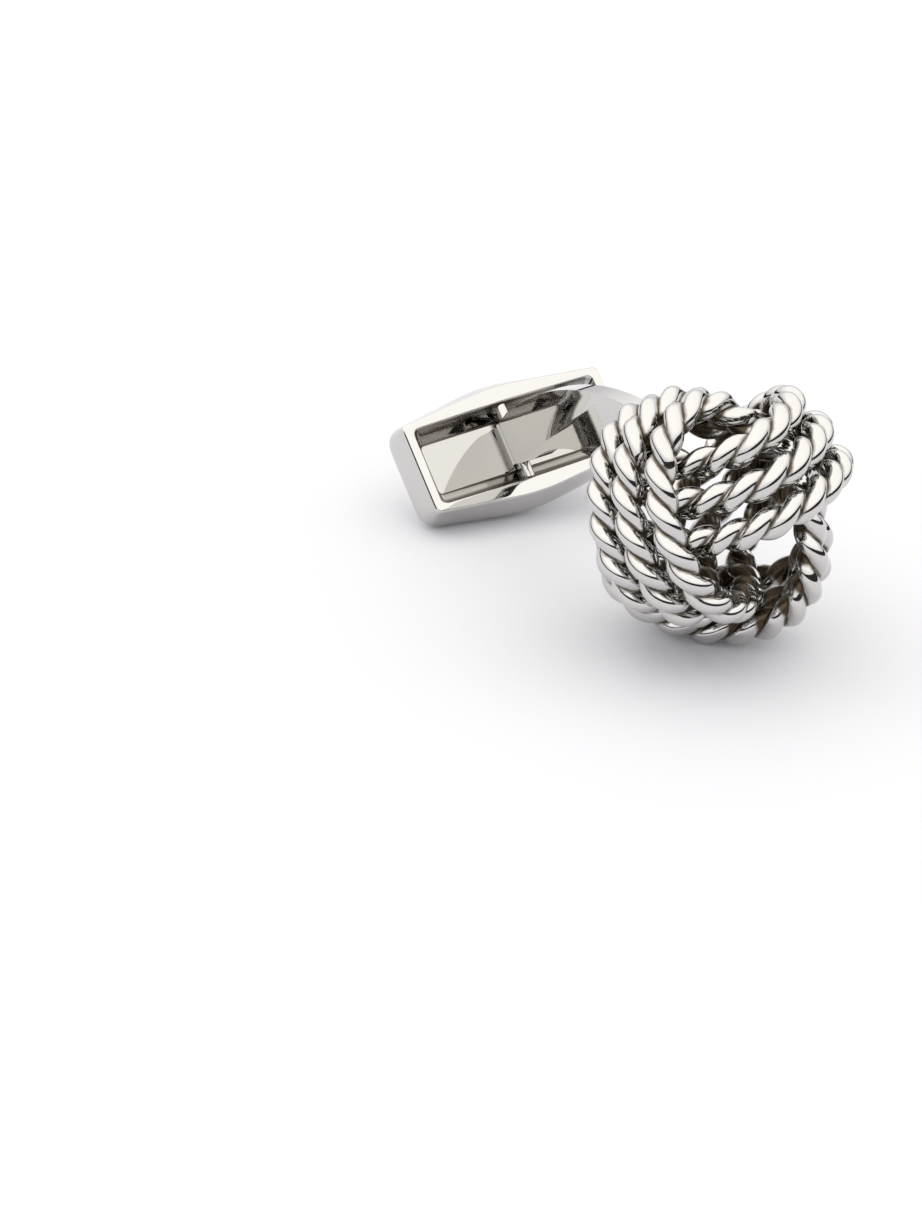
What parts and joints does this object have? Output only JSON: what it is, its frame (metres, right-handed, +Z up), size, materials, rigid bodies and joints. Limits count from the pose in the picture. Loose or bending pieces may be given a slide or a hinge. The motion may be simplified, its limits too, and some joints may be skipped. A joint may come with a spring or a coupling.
{
  "type": "cufflink",
  "caption": "Polished cufflink with a woven rope-knot head on a bent flat post and a swinging whale-back toggle that turns in line to pass a buttonhole.",
  "frame": {"origin": "centre of the underside of the bounding box, on the surface that the cufflink lies on", "axes": "+Z is up as the cufflink lies; +Y runs from the knot to the toggle and is the longest extent; +X runs along the toggle"},
  "size_m": [0.0174, 0.035, 0.0167],
  "materials": {
    "rope": "polished, dark in the grooves",
    "body": "mirror polished",
    "spring": "mirror polished"
  },
  "bodies": {
    "head": {"rope_face": "rope", "rope_middle": "rope", "rope_back": "rope", "post": "body"},
    "toggle": {"toggle_case": "body", "hinge_pin": "body", "spring_strip": "spring"}
  },
  "joints": [
    {"name": "toggle_swing", "type": "hinge", "parent": "head", "child": "toggle", "pos_m": [0.00055, 0.01328, 0.00459], "axis": [-0.0911, 0.6475, 0.7566], "range_deg": [-70, 70]}
  ]
}
